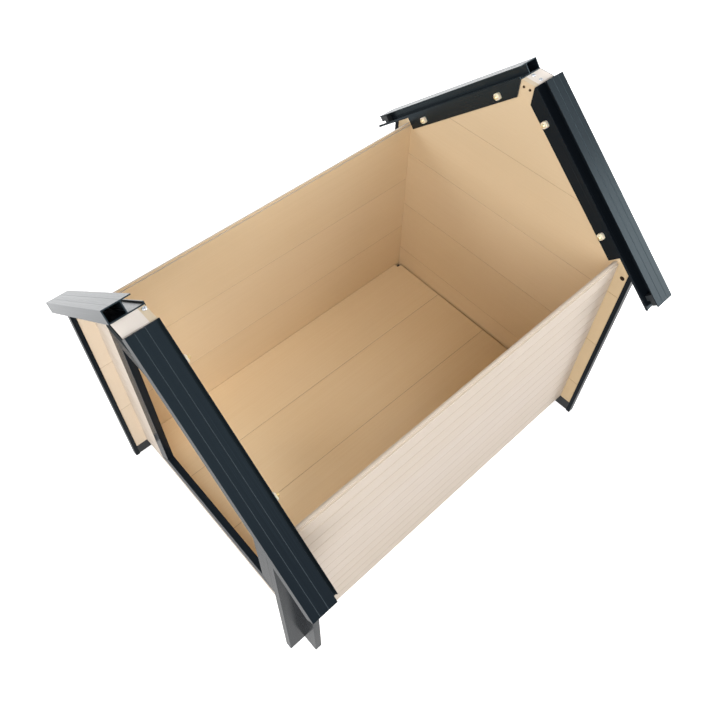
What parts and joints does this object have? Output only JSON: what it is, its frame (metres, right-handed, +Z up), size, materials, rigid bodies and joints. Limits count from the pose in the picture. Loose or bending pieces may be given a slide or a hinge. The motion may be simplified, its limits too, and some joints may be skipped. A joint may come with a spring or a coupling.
{
  "type": "dog house",
  "caption": "Gabled dog house of tongued planks that cross at the corners, with a framed doorway, corner profiles and slotted rails that take roof panels, shown without them.",
  "frame": {"origin": "centre of the footprint, on the ground", "axes": "+X to the right seen from the doorway side, +Y from the doorway to the back gable, +Z up"},
  "size_m": [0.9834, 1.145, 0.977],
  "materials": {
    "plank": "smooth tan board, fine grooves on the outer face",
    "block": "planed pale board",
    "profile": "anthracite satin coat on extruded profile",
    "door_frame": "anthracite satin coat on extruded channel",
    "foot": "moulded, matt black",
    "plug": "moulded, dark grey",
    "bearer": "plain dark beam",
    "bolt": "yellow zinc plated",
    "nut": "cream nylon",
    "dark_screw": "bronzed",
    "screw": "zinc plated"
  },
  "bodies": {
    "root": {"left_plank_1": "plank", "left_plank_2": "plank", "left_plank_3": "plank", "right_plank_1": "plank", "right_plank_2": "plank", "right_plank_3": "plank", "back_plank_1": "plank", "back_plank_2": "plank", "back_plank_3": "plank", "back_plank_4": "plank", "back_plank_5": "plank", "front_plank_1": "plank", "front_plank_2_left": "plank", "front_plank_2_right": "plank", "front_plank_3_left": "plank", "front_plank_3_right": "plank", "front_plank_4": "plank", "front_plank_5": "plank", "floor_plank_1": "plank", "floor_plank_2": "plank", "floor_plank_3": "plank", "floor_plank_4": "plank", "bearer_front": "bearer", "bearer_centre": "bearer", "bearer_back": "bearer", "corner_front_left": "profile", "corner_front_right": "profile", "corner_back_left": "profile", "corner_back_right": "profile", "foot_front_left": "foot", "foot_front_right": "foot", "foot_back_left": "foot", "foot_back_right": "foot", "rail_front_left": "profile", "rail_front_right": "profile", "rail_back_left": "profile", "rail_back_right": "profile", "rail_plugs": "plug", "rail_bolts": "bolt", "rail_nuts": "nut", "door_jamb_left": "door_frame", "door_jamb_right": "door_frame", "door_head": "door_frame", "door_sill": "door_frame", "apex_block_front": "block", "apex_block_back": "block", "apex_plate_front": "profile", "apex_plate_back": "profile", "block_screws": "dark_screw", "apex_screws": "screw", "floor_screws": "screw"}
  },
  "joints": []
}
